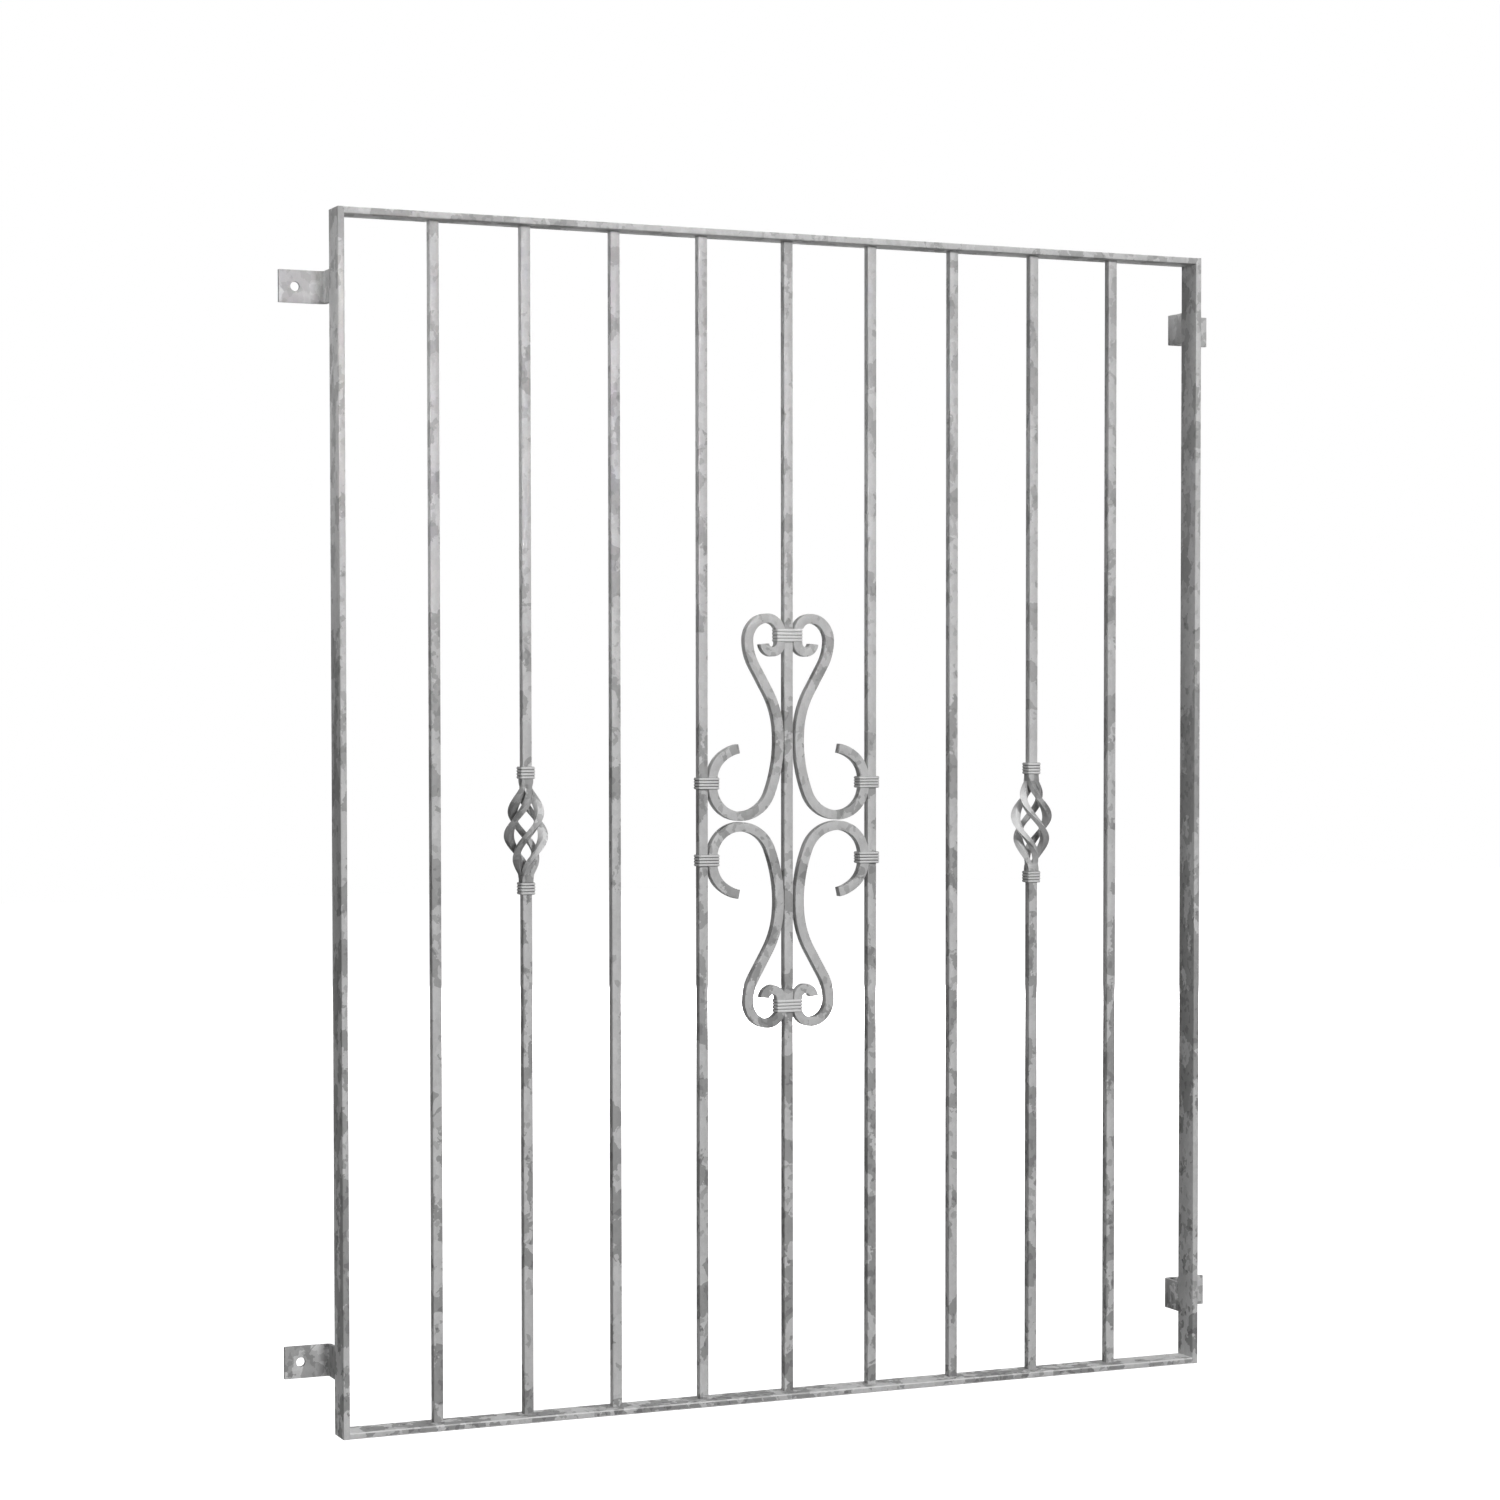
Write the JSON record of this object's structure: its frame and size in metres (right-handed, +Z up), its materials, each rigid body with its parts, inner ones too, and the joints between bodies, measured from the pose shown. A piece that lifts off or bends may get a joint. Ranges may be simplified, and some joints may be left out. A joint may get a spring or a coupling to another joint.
{
  "type": "window grille",
  "caption": "Galvanised steel window grille: flat bar frame with square bars, paired heart scrolls, twisted baskets, ribbed collars and bent wall brackets with screw holes",
  "frame": {"origin": "centre of the four wall screw holes, on the plane where the bracket plates meet the wall", "axes": "+X to the right seen from the front, +Y into the wall, +Z up along the bars"},
  "size_m": [1.3054, 0.0863, 1.5],
  "materials": {
    "frame_steel": "hot-dip galvanised, dull grey with darker patches",
    "bar_steel": "hot-dip galvanised, dull grey with darker patches",
    "scroll_steel": "hot-dip galvanised, dull grey with darker patches",
    "basket_steel": "hot-dip galvanised, mottled grey",
    "collar_steel": "hot-dip galvanised, plain light grey",
    "bracket_steel": "hot-dip galvanised, dull grey with darker patches"
  },
  "bodies": {
    "root": {"left_stile": "frame_steel", "right_stile": "frame_steel", "top_rail": "frame_steel", "bottom_rail": "frame_steel", "bar_1": "bar_steel", "bar_2_lower": "bar_steel", "bar_2_upper": "bar_steel", "bar_3": "bar_steel", "bar_4": "bar_steel", "bar_5": "bar_steel", "bar_6": "bar_steel", "bar_7": "bar_steel", "bar_8_lower": "bar_steel", "bar_8_upper": "bar_steel", "bar_9": "bar_steel", "scroll_upper_left": "scroll_steel", "scroll_upper_right": "scroll_steel", "scroll_lower_left": "scroll_steel", "scroll_lower_right": "scroll_steel", "basket_left": "basket_steel", "basket_right": "basket_steel", "heart_collar_upper": "collar_steel", "heart_collar_lower": "collar_steel", "side_collar_upper_left": "collar_steel", "side_collar_upper_right": "collar_steel", "side_collar_lower_left": "collar_steel", "side_collar_lower_right": "collar_steel", "basket_left_collar_upper": "collar_steel", "basket_left_collar_lower": "collar_steel", "basket_right_collar_upper": "collar_steel", "basket_right_collar_lower": "collar_steel", "bracket_upper_left": "bracket_steel", "bracket_upper_right": "bracket_steel", "bracket_lower_left": "bracket_steel", "bracket_lower_right": "bracket_steel"}
  },
  "joints": []
}
